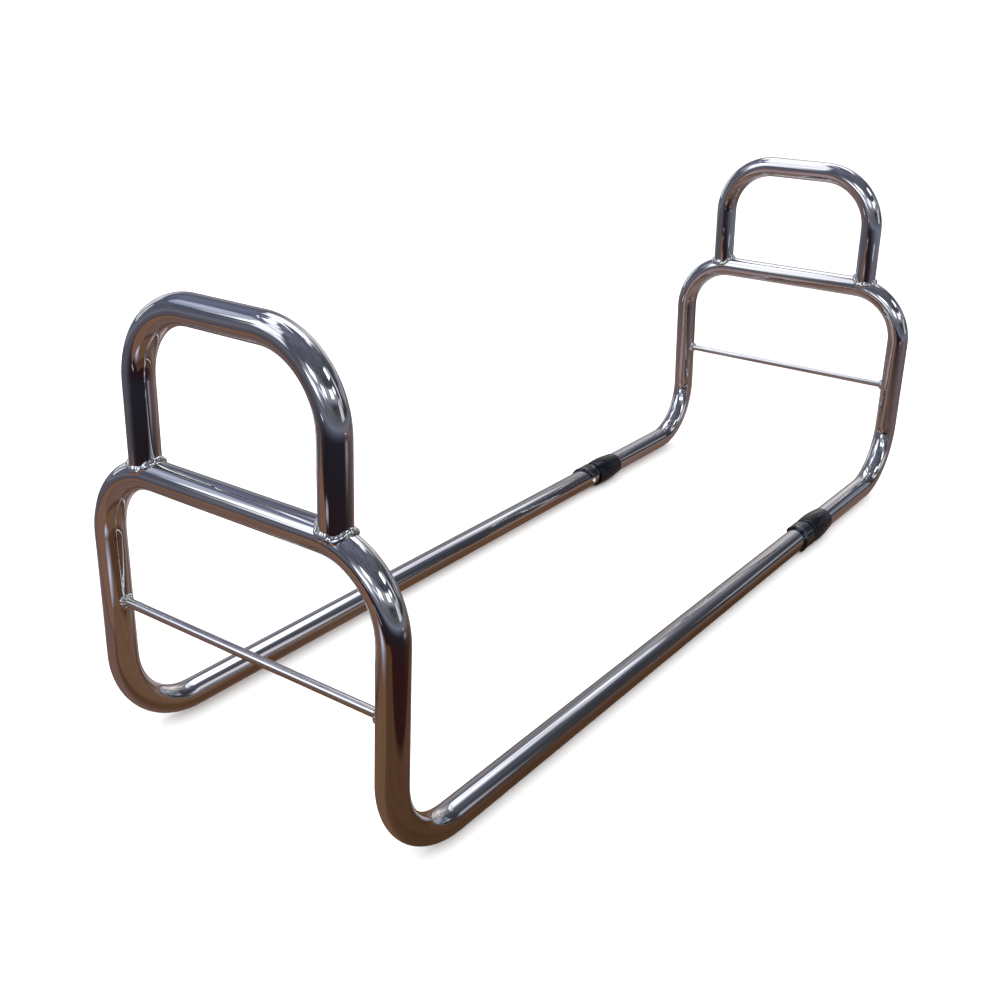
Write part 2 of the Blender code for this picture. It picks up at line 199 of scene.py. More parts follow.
# Material tones: share of the noise and linear colour
CHROME_TONES = [
    (0.25, (0.70, 0.71, 0.73)), (0.62, (0.80, 0.81, 0.83)),
    (0.90, (0.86, 0.86, 0.86)),
]
WELD_TONES = [
    (0.28, (0.62, 0.61, 0.61)), (0.42, (0.84, 0.85, 0.87)),
    (0.80, (0.90, 0.90, 0.91)),
]
STEEL_TONES = [(0.30, (0.46, 0.47, 0.49)), (0.70, (0.63, 0.64, 0.66))]
ZINC_TONES = [(0.30, (0.62, 0.62, 0.64)), (0.70, (0.78, 0.78, 0.80))]
PLASTIC_TONES = [
    (0.38, (0.0026, 0.0030, 0.0042)), (0.62, (0.0050, 0.0056, 0.0075)),
    (0.88, (0.018, 0.019, 0.022)),
]
ROD_HAZE = 0.09

# Black plastics: specular level, coat weight, least and greatest roughness,
# and the grain's noise scale
FERRULE_LOOK = (0.36, 0.0, 0.07, 0.15, 1500.0)
CLIP_LOOK = (1.0, 0.45, 0.05, 0.11, 2200.0)

# What only the plating sees. World stops: share of the way from straight down
# to straight up, and linear colour. Ground stops: distance from the ground's
# centre, and colour.
WORLD_STOPS = [
    (0.50, (0.115, 0.115, 0.132)),
    (0.58, (0.050, 0.051, 0.056)),
    (0.66, (0.048, 0.052, 0.066)),
    (0.80, (0.104, 0.113, 0.138)),
    (1.00, (0.146, 0.148, 0.206)),
]
GROUND_STOPS = [
    (0.45, (0.030, 0.010, 0.009)),
    (0.80, (0.018, 0.014, 0.019)),
    (1.05, (0.020, 0.019, 0.027)),
    (1.50, (0.075, 0.078, 0.110)),
    (2.50, (0.180, 0.196, 0.240)),
    (6.00, (0.135, 0.143, 0.178)),
]
# World panels: azimuth (0 along +X) and its half width, elevation and its half
# width, softness, all in degrees, and colour. Later panels cover earlier ones.
WORLD_PANELS = [
    (106, 64.7, 62, 44.2, 94.4, (0.17, 0.18, 0.27)),
    (-13, 7.4, 2, 13.1, 6.9, (0.32, 0.35, 0.46)),
    (16, 5.1, 14, 11.2, 63.6, (2.02, 1.90, 1.87)),
    (52, 12, 14, 11.8, 6.9, (0.26, 0.25, 0.28)),
    (-179, 9, 7, 11.6, 22.3, (0.59, 0.61, 0.71)),
    (-39, 12.2, 1, 10.9, 1.4, (0.047, 0.035, 0.032)),
    (-103, 35.2, 23, 6.6, 7.9, (0.30, 0.32, 0.36)),
    (-68, 10, 4, 13, 2.9, (0.54, 0.56, 0.61)),
    (-155, 9.9, 14, 2.4, 0.8, (1.06, 1.07, 1.18)),
    (-51, 3, 26, 15.8, 9.7, (0.93, 0.88, 0.94)),
    (22, 31.4, 53, 14.2, 2.3, (1.32, 1.33, 1.41)),
    (124, 19.3, 33, 7.8, 2.2, (0.48, 0.50, 0.62)),
    (145, 11.3, 37, 24.4, 5.5, (1.05, 1.06, 1.13)),
    (-149, 14.7, 22, 2.2, 53.8, (0.70, 0.73, 0.89)),
    (-29, 5, 11, 6.4, 1.7, (0.31, 0.32, 0.36)),
    (72, 14.3, 6, 13.4, 7.4, (0.76, 0.78, 0.80)),
    (19, 7.3, 44, 1, 0.9, (0.47, 0.45, 0.49)),
    (101, 7.8, 49, 0.8, 1.5, (1.44, 1.45, 1.63)),
    (-12, 10.6, 49, 11.3, 28.7, (0.17, 0.17, 0.23)),
    (141, 16, 33, 5.8, 12, (1.40, 1.41, 1.46)),
    (-31, 3.2, 5, 3.7, 2, (0.041, 0.037, 0.041)),
    (-20, 3.2, 19, 3.3, 1.3, (0.19, 0.23, 0.30)),
    (96, 2.8, 3, 9.8, 4.5, (1.06, 1.11, 1.14)),
    (122, 17.9, 60, 7.2, 4.4, (1.39, 1.39, 1.42)),
    (80, 10.7, 65, 4, 9.8, (1.92, 1.86, 1.88)),
    (59, 8.5, 67, 20.6, 4.4, (1.47, 1.47, 1.52)),
    (118, 7.7, 28, 4.6, 4.1, (0.30, 0.35, 0.45)),
    (103, 7.6, 65, 4.8, 2.9, (1.58, 1.64, 1.69)),
    (-62, 6.5, 42, 4.2, 3.1, (0.41, 0.45, 0.47)),
    (-21, 8.2, 63, 3.5, 3.9, (1.45, 1.41, 1.51)),
    (-10, 5.6, 41, 1.3, 2.6, (0.54, 0.53, 0.61)),
    (-72, 9, 43, 5, 3, (2.60, 2.70, 2.40)),
    (-166, 8, 25, 5, 3, (2.40, 2.50, 2.50)),
    (-141, 7, 21, 4, 3, (2.40, 2.40, 2.50)),
    (-100, 9, 25, 4, 3, (2.40, 2.40, 2.30)),
    (-76, 6, 27, 3, 3, (2.20, 2.20, 2.20)),
    (136, 9, 29, 6, 4, (2.10, 2.08, 2.12)),
    (174, 8, 4, 4, 4, (1.90, 1.90, 2.00)),
    (-2, 12, 56, 5, 5, (1.90, 1.90, 2.00)),
]
# Ground panels: x and its half width, y and its half width, softness, colour
GROUND_PANELS = [
    (0.32, 1.26, 0.25, 0.57, 0.04, (0.101, 0.050, 0.026)),
    (0.26, 0.98, 0.67, 0.53, 0.04, (0.189, 0.112, 0.089)),
    (0.57, 0.15, 0.13, 2.21, 1.84, (0.265, 0.185, 0.166)),
    (-0.86, 0.02, 0.09, 0.10, 0.29, (1.442, 1.535, 1.969)),
    (-1.49, 1.95, 1.34, 0.75, 0.91, (0.114, 0.101, 0.122)),
    (-0.56, 0.22, -0.02, 0.12, 0.04, (0.172, 0.092, 0.055)),
    (-0.24, 0.09, 0.27, 0.07, 0.03, (0.458, 0.374, 0.381)),
    (-0.93, 0.19, 0.36, 0.28, 0.06, (0.220, 0.118, 0.078)),
    (-0.05, 0.12, -0.88, 0.14, 0.21, (0.278, 0.254, 0.296)),
    (0.14, 0.45, -0.01, 0.06, 0.20, (0.273, 0.191, 0.169)),
    (-1.15, 0.03, 0.02, 0.09, 0.03, (0.420, 0.390, 0.450)),
    (0.77, 0.20, 0.13, 0.10, 0.14, (0.418, 0.358, 0.362)),
    (0.04, 0.17, 0.27, 0.10, 0.08, (0.350, 0.264, 0.276)),
    (-0.29, 0.06, 0.75, 0.06, 0.05, (1.039, 1.002, 1.023)),
    (-2.04, 0.08, 0.31, 0.09, 0.06, (1.346, 1.337, 1.415)),
    (-0.44, 0.08, 0.47, 0.11, 0.05, (0.339, 0.273, 0.303)),
    (0.14, 0.09, -1.56, 0.10, 0.06, (0.901, 0.919, 1.088)),
    # Last two: darker golden strips on the boards under the rails, painted shade of
    # the frame on the floor beneath it
    (-0.10, 0.38, -0.16, 0.035, 0.04, (0.085, 0.043, 0.022)),
    (0.05, 0.22, 0.13, 0.030, 0.03, (0.140, 0.073, 0.041)),
]
# Uneven brightness: noise scale, stretch along each axis, least and greatest
WORLD_CLUTTER = (6.0, (1.0, 1.0, 1.6), 0.72, 1.30)
GROUND_CLUTTER = (7.0, (1.0, 9.0, 1.0), 0.88, 1.12)
GROUND_CENTRE_X = -0.5
GROUND_Z = -0.0020
GROUND_REACH = 30.0

# Studio
PLAIN_LIGHT = 1.6
FLOOR_COLOR = (0.90, 0.90, 0.90)
FLOOR_Z = -0.0005
FLOOR_REACH = 60.0
LIGHT_AIM = Vector((0, 0, 0.2))
# Name, place, width and height, power in watts
LIGHTS = [
    ("soft_key", (-1.6, -1.4, 2.4), (1.4, 1.0), 14),
    ("soft_fill", (1.2, -2.2, 2.0), (1.0, 1.2), 10),
    ("soft_top", (0.2, 1.4, 2.6), (1.6, 0.8), 12),
]

# Camera, at the reference view's place: turns in radians, lens and sensor in
# millimetres
CAMERA_PLACE = Vector((-1.0759, -0.6577, 0.6312))
CAMERA_YAW = 0.6250
CAMERA_PITCH = 0.3216
CAMERA_ROLL = -0.0194
CAMERA_LENS = 45.686
CAMERA_SENSOR = 36.0
CAMERA_SHIFT_Y = -0.10
CAMERA_CLIP = (0.01, 200.0)


def middle(node):
    """Centre of a CAD node's box."""
    low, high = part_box(node)
    return (low + high) / 2


# Places, from the CAD nodes' boxes
NEAR_X = middle("near_cross_rod").x
FAR_X = middle("far_cross_rod").x
ROD_Z = middle("near_cross_rod").z
RAIL_Y = middle("left_slide_tube").y
RAIL_Z = middle("left_slide_tube").z
PIN_X = middle("left_lock_pin").x
HOOP_Y = RAIL_Y + HOOP_RISE * math.tan(HOOP_SPREAD)
TOP_Z = RAIL_Z + HOOP_RISE
ALONG_X = Vector((1.0, 0.0, 0.0))
ALONG_Y = Vector((0.0, 1.0, 0.0))

# ----------------------------------------------------------------- node trees


class Graph:
    """Small helper for building a node tree."""

    def __init__(self, tree, coordinate):
        self.tree = tree
        self.place = self.add("ShaderNodeTexCoord").outputs[coordinate]

    def add(self, kind, inputs=None, **settings):
        node = self.tree.nodes.new(kind)
        for key, value in settings.items():
            setattr(node, key, value)
        for key, value in (inputs or {}).items():
            self.put(node.inputs[key], value)
        return node

    def put(self, socket, value):
        if isinstance(value, bpy.types.NodeSocket):
            self.tree.links.new(value, socket)
        elif socket.type == "RGBA":
            socket.default_value = (*value, 1.0)
        else:
            socket.default_value = value

    def surface(self, **inputs):
        """Set or link sockets of the Principled shader, by name with _ for space."""
        shader = self.tree.nodes["Principled BSDF"]
        for name, value in inputs.items():
            self.put(shader.inputs[name.replace("_", " ")], value)

    def math(self, operation, *values):
        inputs = dict(enumerate(values))
        return self.add("ShaderNodeMath", inputs, operation=operation).outputs[0]

    def noise(self, scale, detail, stretch=(1, 1, 1), shift=0.0, rough=0.5):
        mapping = {"Vector": self.place, "Scale": stretch}
        mapping["Location"] = (shift, shift * 1.7, -shift)
        where = self.add("ShaderNodeMapping", mapping).outputs["Vector"]
        inputs = {"Vector": where, "Scale": scale, "Detail": detail}
        inputs["Roughness"] = rough
        return self.add("ShaderNodeTexNoise", inputs).outputs["Fac"]

    def span(self, value, low, high, start, end, **settings):
        """Map start..end to low..high, held there outside."""
        inputs = {"Value": value, "From Min": start, "From Max": end}
        inputs.update({"To Min": low, "To Max": high})
        node = self.add("ShaderNodeMapRange", inputs, **settings)
        return node.outputs["Result"]

    def ramp(self, value, stops, scale=1.0):
        node = self.add("ShaderNodeValToRGB", {"Fac": value})
        elements = node.color_ramp.elements
        while len(elements) < len(stops):
            elements.new(0.5)
        for element, (at, color) in zip(elements, stops):
            element.position = at / scale
            element.color = (*color, 1.0)
        return node.outputs["Color"]

    def bump(self, height, strength, distance, normal=None):
        inputs = {"Height": height, "Strength": strength, "Distance": distance}
        if normal is not None:
            inputs["Normal"] = normal
        return self.add("ShaderNodeBump", inputs).outputs["Normal"]

    def within(self, value, centre, half, soft, wrap):
        """Soft-edged share: 1 inside centre plus or minus half, 0 outside."""
        off = self.math("SUBTRACT", value, centre)
        if wrap:
            off = self.math("WRAP", off, 180.0, -180.0)
        off = self.math("ABSOLUTE", off)
        edges = (half + soft / 2, half - soft / 2)
        return self.span(off, 0.0, 1.0, *edges, interpolation_type="SMOOTHSTEP")

    def panels(self, color, u, v, table, wrap):
        """Paint soft-edged panels over a colour; wrap says that u is an azimuth."""
        for middle_u, half_u, middle_v, half_v, soft, tint in table:
            across = self.within(u, middle_u, half_u, soft, wrap)
            rise = self.within(v, middle_v, half_v, soft, False)
            share = self.math("MULTIPLY", across, rise)
            inputs = {"Factor": share, 6: color, 7: tint}
            mix = self.add("ShaderNodeMix", inputs, data_type="RGBA")
            color = mix.outputs[2]
        return color

    def clutter(self, scale, stretch, low, high):
        """Uneven brightness factor, between low and high."""
        noise = self.noise(scale, detail=3.0, stretch=stretch)
        return self.span(noise, low, high, start=0.34, end=0.66)


def new_material(name):
    """A Principled material and its graph, in object coordinates."""
    material = bpy.data.materials.new(name)
    material.use_nodes = True
    return material, Graph(material.node_tree, "Object")


def chrome(name, shift, haze=0.0):
    """Bright plating: faint tarnish, wipe marks, dull specks, slight waviness."""
    material, g = new_material(name)
    tarnish = g.noise(scale=9.0, detail=5.0, shift=shift)
    wiped = {"stretch": (1.0, 1.6, 0.6), "rough": 0.62}
    smears = g.noise(scale=26.0, detail=6.0, shift=shift + 3.0, **wiped)
    specks = g.noise(scale=900.0, detail=2.0, shift=shift + 5.0)
    wave = g.noise(scale=16.0, detail=2.0, shift=shift + 7.0)
    peel = g.noise(scale=420.0, detail=2.0, shift=shift + 9.0)
    dullest = 0.084 + 1.8 * haze
    base = g.span(smears, low=0.022 + haze, high=dullest, start=0.42, end=0.78)
    dots = g.span(specks, low=0.0, high=0.02, start=0.62, end=0.80)
    waves = g.bump(wave, strength=0.10, distance=0.0016)
    g.surface(
        Base_Color=g.ramp(tarnish, CHROME_TONES),
        Metallic=1.0,
        Roughness=g.math("ADD", base, dots),
        Normal=g.bump(peel, strength=0.02, distance=0.00006, normal=waves),
    )
    return material


def weld_metal(name, shift):
    """Plated weld bead with pits and a few darker spots."""
    material, g = new_material(name)
    stain = g.noise(scale=160.0, detail=4.0, shift=shift)
    grain = g.noise(scale=520.0, detail=4.0, shift=shift + 2.0)
    lumps = g.noise(scale=150.0, detail=2.0, shift=shift + 4.0)
    broad = g.bump(lumps, strength=0.45, distance=0.0010)
    g.surface(
        Base_Color=g.ramp(stain, WELD_TONES),
        Metallic=1.0,
        Roughness=g.span(grain, low=0.03, high=0.12, start=0.35, end=0.75),
        Normal=g.bump(grain, strength=0.14, distance=0.0002, normal=broad),
    )
    return material


def drawn_steel(name, shift):
    """Unplated tube, with fine draw lines along it and a hint of oil."""
    material, g = new_material(name)
    along_x = (0.02, 1.0, 1.0)
    lines = g.noise(scale=700.0, detail=3.0, stretch=along_x, shift=shift)
    cloud = g.noise(scale=30.0, detail=4.0, shift=shift + 4.0)
    g.surface(
        Base_Color=g.ramp(cloud, STEEL_TONES),
        Metallic=1.0,
        Roughness=g.span(lines, low=0.16, high=0.36, start=0.3, end=0.7),
        Normal=g.bump(lines, strength=0.10, distance=0.0001),
    )
    return material


def bright_zinc(name, shift):
    """Pale zinc coat of the pins, a little cloudy, with fine turning marks."""
    material, g = new_material(name)
    cloud = g.noise(scale=300.0, detail=4.0, shift=shift)
    along_y = (1.0, 0.05, 1.0)
    lines = g.noise(scale=1800.0, detail=3.0, stretch=along_y, shift=shift + 2.0)
    g.surface(
        Base_Color=g.ramp(cloud, ZINC_TONES),
        Metallic=0.25,
        Roughness=g.span(lines, low=0.22, high=0.42, start=0.3, end=0.7),
        Normal=g.bump(lines, strength=0.12, distance=0.00008),
    )
    return material


def black_plastic(name, shift, look):
    """Moulded black plastic: fine grain, greyish scuffs, uneven gloss."""
    specular, coat, glossiest, dullest, grain_scale = look
    material, g = new_material(name)
    rubbed = {"stretch": (0.5, 1.0, 1.0), "rough": 0.66}
    scuff = g.noise(scale=85.0, detail=6.0, shift=shift, **rubbed)
    gloss = g.noise(scale=40.0, detail=4.0, shift=shift + 6.0)
    grain = g.noise(scale=grain_scale, detail=3.0, shift=shift + 8.0)
    g.surface(
        Base_Color=g.ramp(scuff, PLASTIC_TONES),
        Specular_IOR_Level=specular,
        Specular_Tint=(0.68, 0.80, 1.0),
        Coat_Weight=coat,
        Coat_Roughness=0.04,
        Coat_IOR=1.8,
        Roughness=g.span(gloss, glossiest, dullest, start=0.3, end=0.7),
        Normal=g.bump(grain, strength=0.04, distance=0.00006),
    )
    return material


# -------------------------------------------------------------- mesh building


def link(name, data):
    """A new object in the scene."""
    obj = bpy.data.objects.new(name, data)
    bpy.context.scene.collection.objects.link(obj)
    return obj


def to_object(bm, name):
    """Turn a bmesh into an object."""
    mesh = bpy.data.meshes.new(name)
    bm.to_mesh(mesh)
    bm.free()
    return link(name, mesh)


def finish_piece(bm, node, material, sharp=SHARP_TUBE):
    """Make the piece that stands for a CAD node and rides on its body."""
    bmesh.ops.recalc_face_normals(bm, faces=bm.faces)
    limit = math.radians(sharp)
    for face in bm.faces:
        face.smooth = True
    for edge in bm.edges:
        edge.smooth = edge.calc_face_angle(0.0) < limit
    piece = to_object(bm, node + "_fine")
    piece.data.materials.append(material)
    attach(piece, frame["nodes"][node]["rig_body"])
    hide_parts(node)
    return piece


def add_rings(bm, rings):
    return [[bm.verts.new(point) for point in ring] for ring in rings]


def bridge(bm, first, second):
    """Faces between two rings with as many points."""
    count = len(first)
    for k in range(count):
        after = (k + 1) % count
        bm.faces.new((first[k], first[after], second[after], second[k]))


def skin(bm, rings):
    for first, second in zip(rings, rings[1:]):
        bridge(bm, first, second)


def fan(bm, ring, centre):
    """Close a ring with triangles to a point."""
    hub = bm.verts.new(centre)
    count = len(ring)
    for k in range(count):
        bm.faces.new((ring[k], ring[(k + 1) % count], hub))


def cap(bm, rings):
    """Close both ends of a run of rings with a flat face."""
    bm.faces.new(rings[0])
    bm.faces.new(rings[-1])


def tube_wall(outer, inner):
    """Closed wall between two runs of rings."""
    bm = bmesh.new()
    rows = [add_rings(bm, outer), add_rings(bm, inner)]
    skin(bm, rows[0])
    skin(bm, rows[1])
    bridge(bm, rows[0][0], rows[1][0])
    bridge(bm, rows[0][-1], rows[1][-1])
    return bm


def mirror_y(points):
    return [Vector((p.x, -p.y, p.z)) for p in points]


def both_sides(rings):
    """Rings up to the middle plane, carried on to the mirrored end."""
    return rings + [mirror_y(ring) for ring in reversed(rings[:-1])]


# --------------------------------------------------------------------- paths


def bend_points(before, corner, after, radius):
    """Stations round a bend: point, direction, bend's inward side, ovality."""
    d0 = (corner - before).normalized()
    d1 = (after - corner).normalized()
    angle = d0.angle(d1)
    centre = corner + (d1 - d0).normalized() * (radius / math.cos(angle / 2))
    spoke = corner - d0 * (radius * math.tan(angle / 2)) - centre
    result = []
    for k in range(BEND_STEPS + 1):
        share = k / BEND_STEPS
        a = angle * share
        point = centre + spoke * math.cos(a) + d0 * (radius * math.sin(a))
        tangent = d0 * math.cos(a) - spoke.normalized() * math.sin(a)
        ease = min(1.0, share / BEND_EASE, (1.0 - share) / BEND_EASE)
        squeeze = BEND_OVAL * ease * ease * (3 - 2 * ease)
        result.append((point, tangent, (centre - point).normalized(), squeeze))
    return result


def rounded_path(corners, radii, pitch):
    """Stations along a bent centreline, with a ring every pitch when straight."""
    bends = []
    for k, radius in enumerate(radii, 1):
        bends.append(bend_points(*corners[k - 1:k + 2], radius))
    path = []
    start = corners[0]
    for bend in bends + [[(corners[-1],)]]:
        end = bend[0][0]
        last = len(bend) == 1
        run = end - start
        count = max(1, round(run.length / pitch))
        first = 0 if not path else 1
        for k in range(first, count + last):
            point = start + run * (k / count)
            path.append((point, run.normalized(), None, 0.0))
        if not last:
            path += bend
        start = bend[-1][0]
    return path


def section_rings(path, side, radius, sides):
    """Rings along a path, carried round without twist and oval in the bends."""
    rings = []
    across = side.normalized()
    previous = path[0][1]
    for point, tangent, inward, squeeze in path:
        across = previous.rotation_difference(tangent) @ across
        up = tangent.cross(across)
        previous = tangent
        ring = []
        for k in range(sides):
            a = 2 * math.pi * (k + 0.5) / sides
            offset = across * (math.cos(a) * radius) + up * (math.sin(a) * radius)
            if inward is not None:
                offset -= inward * (offset.dot(inward) * squeeze)
            ring.append(point + offset)
        rings.append(ring)
    return rings


def line_distance(point, line):
    """Distance from a point to a polyline, and the nearest point on it."""
    best = None
    for a, b in zip(line, line[1:]):
        run = b - a
        t = max(0.0, min(1.0, (point - a).dot(run) / run.length_squared))
        foot = a + run * t
        gap = (point - foot).length
        if best is None or gap < best[0]:
            best = (gap, foot)
    return best


def hoop_path(foot_x, rail_end_x):
    """Half a hoop, from its rail's end to the middle of its top bar."""
    corners = [
        Vector((rail_end_x, RAIL_Y, RAIL_Z)),
        Vector((foot_x, RAIL_Y, RAIL_Z)),
        Vector((foot_x, HOOP_Y, TOP_Z)),
        Vector((foot_x, 0.0, TOP_Z)),
    ]
    return rounded_path(corners, [FOOT_BEND_R, HOOP_BEND_R], HOOP_RING_PITCH)


def hoop_line(foot_x):
    """Centreline of the upright and top bar, for fitting welds and feet."""
    path = hoop_path(foot_x, 0.0)
    return [p for p, *_ in path if abs(p.x - foot_x) < HOOP_PLANE_GAP]


def grip_path(foot_x):
    """Half a grip loop, from its foot to the middle of its bar."""
    top_z = RAIL_Z + GRIP_RISE
    top_y = GRIP_Y + (top_z - TOP_Z) * math.tan(GRIP_SPREAD)
    corners = [
        Vector((foot_x, GRIP_Y, TOP_Z)),
        Vector((foot_x, top_y, top_z)),
        Vector((foot_x, 0.0, top_z)),
    ]
    return rounded_path(corners, [GRIP_BEND_R], GRIP_RING_PITCH)


def cope_point(point, direction, line, radius):
    """Where a line along direction leaves the host, or passes closest to it."""

    def gap(reach):
        return line_distance(point + direction * reach, line)[0]

    low, high = -CLOSEST_REACH, CLOSEST_REACH
    for _ in range(CLOSEST_STEPS):
        third = (high - low) / 3
        if gap(low + third) < gap(high - third):
            high -= third
        else:
            low += third
    low = 0.5 * (low + high)
    if gap(low) >= radius:
        return point + direction * low
    high = LEAVING_REACH
    for _ in range(LEAVING_STEPS):
        half = 0.5 * (low + high)
        if gap(half) < radius:
            low = half
        else:
            high = half
    return point + direction * high


def above(point, z):
    return Vector((point.x, point.y, max(point.z, z)))


# --------------------------------------------------------------------- tubes


def make_hoop(prefix, foot_x, shift):
    node = prefix + "_frame_tube"
    low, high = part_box(node)
    path = hoop_path(foot_x, high.x if foot_x < 0 else low.x)
    walls = [
        both_sides(section_rings(path, ALONG_Y, radius, TUBE_SIDES))
        for radius in (TUBE_R, TUBE_BORE_R)
    ]
    return finish_piece(tube_wall(*walls), node, chrome(node, shift))


def make_grip(prefix, foot_x, shift):
    """Grip loop whose feet are cut to the top bar it stands on."""
    node = prefix + "_grip_loop"
    path = grip_path(foot_x)
    axis = path[0][1]
    line = hoop_line(foot_x)
    walls = []
    for radius in (TUBE_R, TUBE_BORE_R):
        half = section_rings(path[1:], ALONG_X, radius, TUBE_SIDES)
        foot = [cope_point(p, axis, line, TUBE_R + END_GAP) for p in half[0]]
        half[0] = [above(p, TOP_Z + FOOT_EDGE) for p in foot]
        walls.append(both_sides(half))
    finish_piece(tube_wall(*walls), node, chrome(node, shift))


def make_rod(prefix, foot_x, shift):
    """Cross rod whose ends are cut to the uprights."""
    node = prefix + "_cross_rod"
    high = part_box(node)[1]
    inward = -ALONG_Y
    start = Vector((foot_x, high.y + ROD_OVERRUN, ROD_Z))
    line = hoop_line(foot_x)
    centre = Vector((foot_x, 0.0, ROD_Z))
    path = [(point, inward, None, 0.0) for point in (start, centre)]
    half = section_rings(path, ALONG_X, ROD_R, ROD_SIDES)
    host_r = TUBE_R + END_GAP
    half[0] = [cope_point(p, inward, line, host_r) for p in half[0]]
    hub = cope_point(start, inward, line, host_r)
    bm = bmesh.new()
    rings = add_rings(bm, both_sides(half))
    skin(bm, rings)
    fan(bm, rings[0], hub)
    fan(bm, rings[-1], mirror_y([hub])[0])
    finish_piece(bm, node, chrome(node, shift, ROD_HAZE))


# --------------------------------------------------------------------- welds


def push_clear(point, line, radius):
    distance, foot = line_distance(point, line)
    if distance >= radius:
        return point
    return foot + (point - foot).normalized() * radius


def bead_rings(root, axis, branch_r, line, style, low_z, seed):
    """Lumpy weld run: overlapping ripples, heavier blobs, wide where flush."""
    bead_r, thin, pool = style
    side = axis.orthogonal().normalized()
    other = axis.cross(side)
    branch = [root + axis * reach for reach in BEAD_BRANCH]
    rings = []
    for k in range(BEAD_STEPS):
        a = 2 * math.pi * k / BEAD_STEPS
        out = side * math.cos(a) + other * math.sin(a)
        seam = cope_point(root + out * branch_r, axis, line, TUBE_R)
        seam = above(seam, low_z)
        host_out = (seam - line_distance(seam, line)[1]).normalized()
        normal = (out + host_out).normalized()
        along = out.cross(axis).cross(normal).normalized()
        slope = out.cross(host_out).length
        ripple = abs(math.sin(BEAD_RIPPLES / 2 * a + seed))
        blob = math.sin(3 * a + seed * 2.1) + 0.7 * math.sin(5 * a + seed * 3.7)
        size = bead_r * (thin + (1 - thin) * slope)
        size *= 1 - BEAD_RIPPLE + BEAD_RIPPLE * ripple + BEAD_BLOB * blob
        flush = max(0.0, 1.0 - BEAD_SLOPE_RATE * slope)
        width = size * (BEAD_WIDTH + pool * flush)
        stray = bead_r * BEAD_WANDER * math.sin(4 * a + seed * 1.3)
        sink = 1 - BEAD_SINK * flush
        ring = []
        for j in range(BEAD_SIDES):
            b = 2 * math.pi * j / BEAD_SIDES
            rise = size * (BEAD_MIDDLE + BEAD_HEIGHT * math.sin(b)) * sink
            point = seam + along * stray + normal * rise
            point += along * (width * math.cos(b))
            for _ in range(PUSH_ROUNDS):
                point = push_clear(point, branch, branch_r + BEAD_GAP)
                point = push_clear(point, line, TUBE_R + BEAD_GAP)
            ring.append(point)
        rings.append(ring)
    return rings


def make_bead_pair(stem, seam, seed, look_seed):
    """Left and right weld of a pair; seam holds what bead_rings needs of it."""
    for n, label in enumerate(("left", "right")):
        rings = bead_rings(*seam, seed + n)
        if n:
            rings = [mirror_y(ring) for ring in rings]
        node = f"{stem}_{label}"
        bm = bmesh.new()
        verts = add_rings(bm, rings)
        skin(bm, verts + verts[:1])
        finish_piece(bm, node, weld_metal(node, look_seed + n), SHARP_WELD)


def make_welds(prefix, foot_x, seed):
    line = hoop_line(foot_x)
    root, axis = grip_path(foot_x)[0][:2]
    seam = (root, axis, TUBE_R, line, GRIP_BEAD, TOP_Z + WELD_EDGE)
    make_bead_pair(prefix + "_grip_weld", seam, seed, seed)
    upright_y = RAIL_Y + (ROD_Z - RAIL_Z) * math.tan(HOOP_SPREAD)
    start = Vector((foot_x, upright_y, ROD_Z))
    seam = (start, -ALONG_Y, ROD_R, line, ROD_BEAD, 0.0)
    make_bead_pair(prefix + "_rod_weld", seam, seed + 0.5, seed + 5)


# --------------------------------------------------------- collars and locks


def turned(profile, y, sides=TUBE_SIDES):
    """Rings of a turned piece round a rail's axis."""
    rings = []
    for x, radius in profile:
        ring = []
        for k in range(sides):
            a = 2 * math.pi * (k + 0.5) / sides
            place = (x, y + radius * math.cos(a), RAIL_Z + radius * math.sin(a))
            ring.append(Vector(place))
        rings.append(ring)
    return rings


def pin_ring(x, y, radius, sides):
    """Ring across a rail, round a pin's axis."""
    ring = []
    for k in range(sides):
        a = 2 * math.pi * k / sides
        place = (x + radius * math.cos(a), y, RAIL_Z + radius * math.sin(a))
        ring.append(Vector(place))
    return ring


def make_ferrule(label, side, shift):
    """Barrel-shaped sleeve with a rolled near lip and a stepped far rim."""
    node = label + "_rail_ferrule"
    low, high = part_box(node)
    top = (high.z - low.z) / 2
    length = high.x - low.x
    profile = [(low.x + u * length, v * top) for u, v in FERRULE_OUTLINE]
    profile += [(high.x - inset, radius) for inset, radius in FERRULE_FAR_BORE]
    profile += [(low.x + inset, radius) for inset, radius in FERRULE_NEAR_BORE]
    bm = bmesh.new()
    rings = add_rings(bm, turned(profile, side * RAIL_Y, FERRULE_SIDES))
    skin(bm, rings + rings[:1])
    material = black_plastic(node, shift, FERRULE_LOOK)
    finish_piece(bm, node, material, SHARP_PLASTIC)


def drill(piece, xs, y):
    """Pin holes across a rail, cut right through."""
    bm = bmesh.new()
    for x in xs:
        ends = (y - DRILL_REACH, y + DRILL_REACH)
        rings = [pin_ring(x, end, PIN_HOLE_R, DRILL_SIDES) for end in ends]
        rings = add_rings(bm, rings)
        skin(bm, rings)
        cap(bm, rings)
    bmesh.ops.recalc_face_normals(bm, faces=bm.faces)
    cutter = to_object(bm, "drill")
    modifier = piece.modifiers.new("holes", "BOOLEAN")
    modifier.operation = "DIFFERENCE"
    modifier.solver = "EXACT"
    modifier.object = cutter
    bpy.context.view_layer.update()
    evaluated = piece.evaluated_get(bpy.context.evaluated_depsgraph_get())
    cut = bpy.data.meshes.new_from_object(evaluated)
    piece.modifiers.clear()
    piece.data = cut
    bpy.data.objects.remove(cutter, do_unlink=True)


